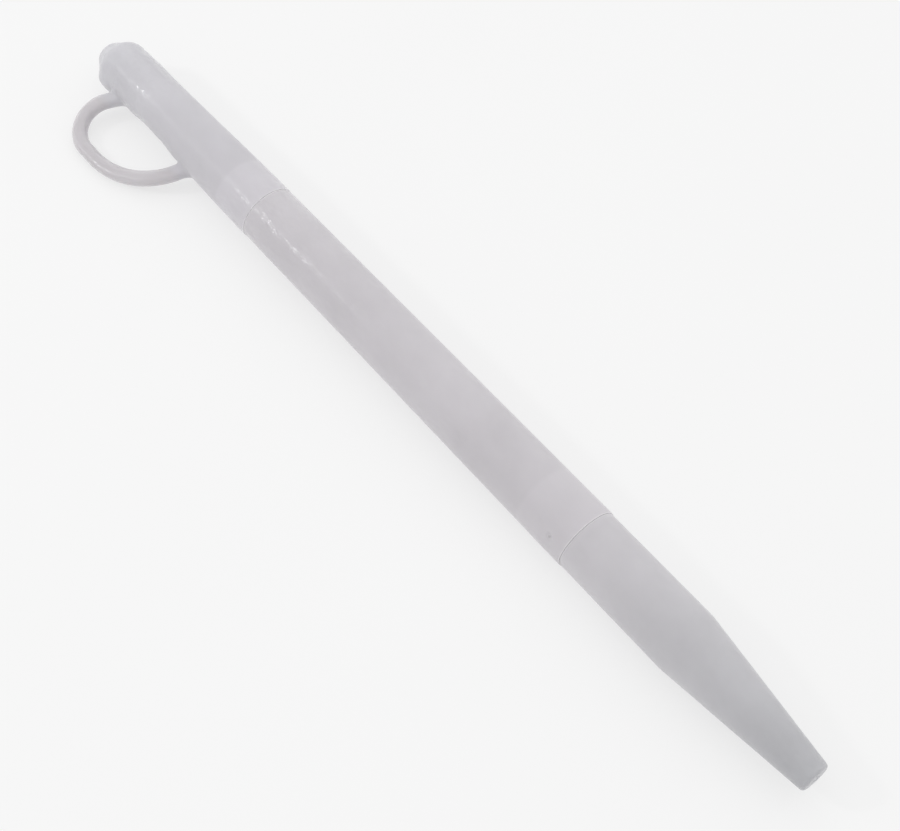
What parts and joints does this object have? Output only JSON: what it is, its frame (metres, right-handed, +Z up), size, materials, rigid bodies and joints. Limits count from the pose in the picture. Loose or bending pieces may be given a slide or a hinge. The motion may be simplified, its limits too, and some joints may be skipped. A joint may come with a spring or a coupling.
{
  "type": "dip pen holder",
  "caption": "Slim push-fit travelling tube for a dip pen, in milky translucent plastic, with a pull-off cap that carries a moulded hanging loop and a closed tapered nose.",
  "frame": {"origin": "on the tube's line, in the plane where the cap's rim meets the barrel's shoulder, which is the pen bore mount", "axes": "+X along the tube towards the nose, +Z up with the holder lying on its side, the hanging loop on the -Y side"},
  "size_m": [0.18, 0.022, 0.0116],
  "materials": {
    "cap_plastic": "milky translucent polyethylene, satin",
    "barrel_plastic": "milky translucent polyethylene, satin",
    "nose_plastic": "milky translucent polyethylene, satin"
  },
  "bodies": {
    "barrel": {"barrel": "barrel_plastic"},
    "cap": {"cap": "cap_plastic"},
    "nose": {"nose": "nose_plastic"}
  },
  "joints": [
    {"name": "cap_pull", "type": "slide", "parent": "barrel", "child": "cap", "axis": [-1, 0, 0], "range_m": [0, 0.06]},
    {"name": "nose_pull", "type": "slide", "parent": "barrel", "child": "nose", "axis": [1, 0, 0], "range_m": [0, 0.03]}
  ]
}
